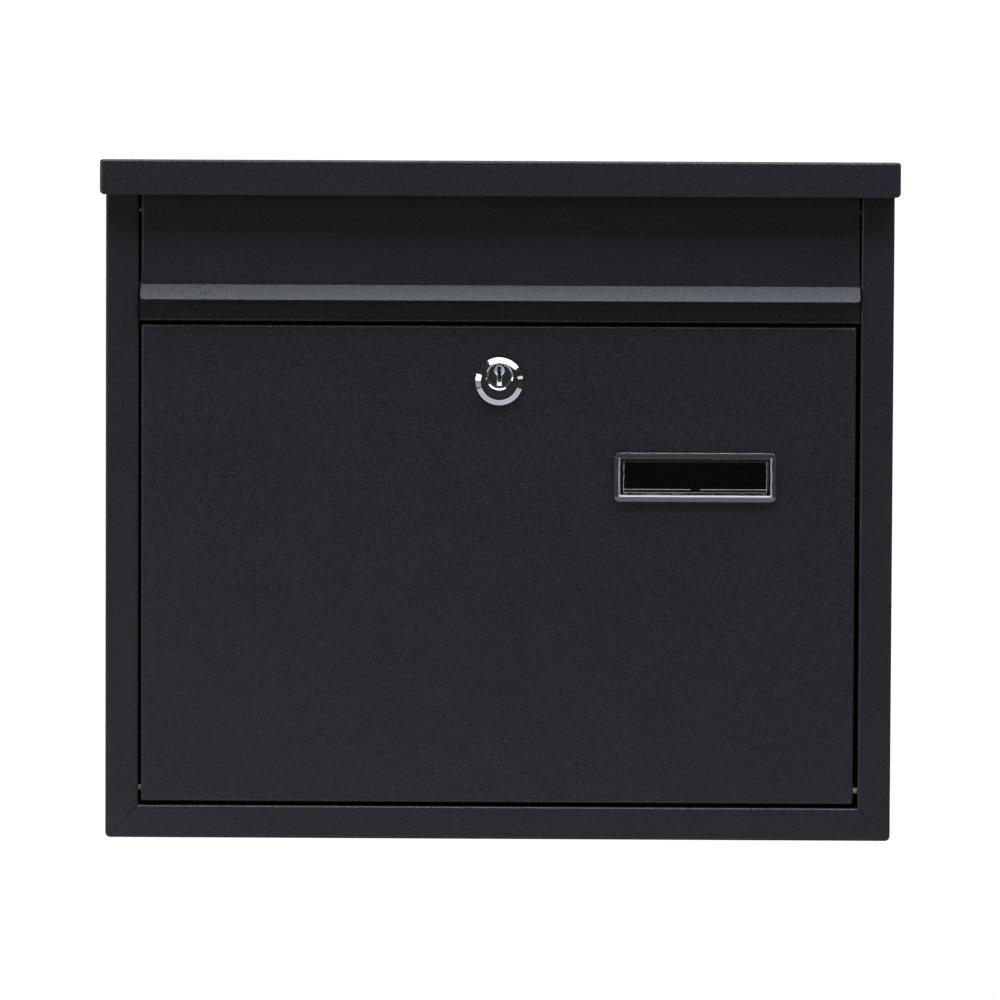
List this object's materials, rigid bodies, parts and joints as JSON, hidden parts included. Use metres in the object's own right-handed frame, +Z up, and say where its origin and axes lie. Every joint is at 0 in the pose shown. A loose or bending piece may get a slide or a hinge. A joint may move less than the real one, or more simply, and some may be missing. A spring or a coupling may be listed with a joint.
{
  "type": "wall mounted mailbox",
  "caption": "Wall mounted steel mailbox with a canopy, an outward letter flap, a drop-down door with a cam lock, and a clear name plate.",
  "frame": {"origin": "centre of the back panel's outer face, on the wall plane", "axes": "+Z up, +Y into the wall, the front faces -Y, +X to the right as seen from the front"},
  "size_m": [0.3636, 0.11, 0.31],
  "materials": {
    "powder_coat": "charcoal powder coat with a fine texture, satin",
    "bright_chrome": "bright plated, polished",
    "zinc_plate": "zinc plated, satin",
    "brass_pins": "turned, satin",
    "clear_plastic": "clear moulded plastic, glossy",
    "black_plastic": "black moulded plastic, matt",
    "spring_steel": "drawn spring wire"
  },
  "bodies": {
    "housing": {"body_shell": "powder_coat", "back_panel": "powder_coat", "canopy": "powder_coat", "cross_rail": "powder_coat"},
    "flap": {"flap_panel": "powder_coat", "flap_pin_left": "zinc_plate", "flap_pin_right": "zinc_plate"},
    "door": {"door_panel": "powder_coat", "door_pin_left": "zinc_plate", "door_pin_right": "zinc_plate", "nameplate_window": "clear_plastic", "nameplate_retainer": "black_plastic", "lock_barrel": "bright_chrome", "lock_star_washer": "zinc_plate", "lock_nut": "zinc_plate", "driver_pin_1": "brass_pins", "pin_spring_1": "spring_steel", "driver_pin_2": "brass_pins", "pin_spring_2": "spring_steel", "driver_pin_3": "brass_pins", "pin_spring_3": "spring_steel", "driver_pin_4": "brass_pins", "pin_spring_4": "spring_steel"},
    "lock_core": {"lock_plug": "bright_chrome", "cam_stop_washer": "zinc_plate", "lock_cam": "zinc_plate", "cam_washer": "zinc_plate", "cam_screw": "zinc_plate", "key_pin_1": "brass_pins", "key_pin_2": "brass_pins", "key_pin_3": "brass_pins", "key_pin_4": "brass_pins"}
  },
  "joints": [
    {"name": "flap_hinge", "type": "hinge", "parent": "housing", "child": "flap", "pos_m": [0, -0.095, 0.133], "axis": [-1, 0, 0], "range_deg": [0, 88]},
    {"name": "door_hinge", "type": "hinge", "parent": "housing", "child": "door", "pos_m": [0, -0.0952, -0.1323], "axis": [1, 0, 0], "range_deg": [0, 115]},
    {"name": "lock_turn", "type": "hinge", "parent": "door", "child": "lock_core", "pos_m": [0, -0.095, 0.0572], "axis": [0, 1, 0], "range_deg": [0, 90]}
  ]
}
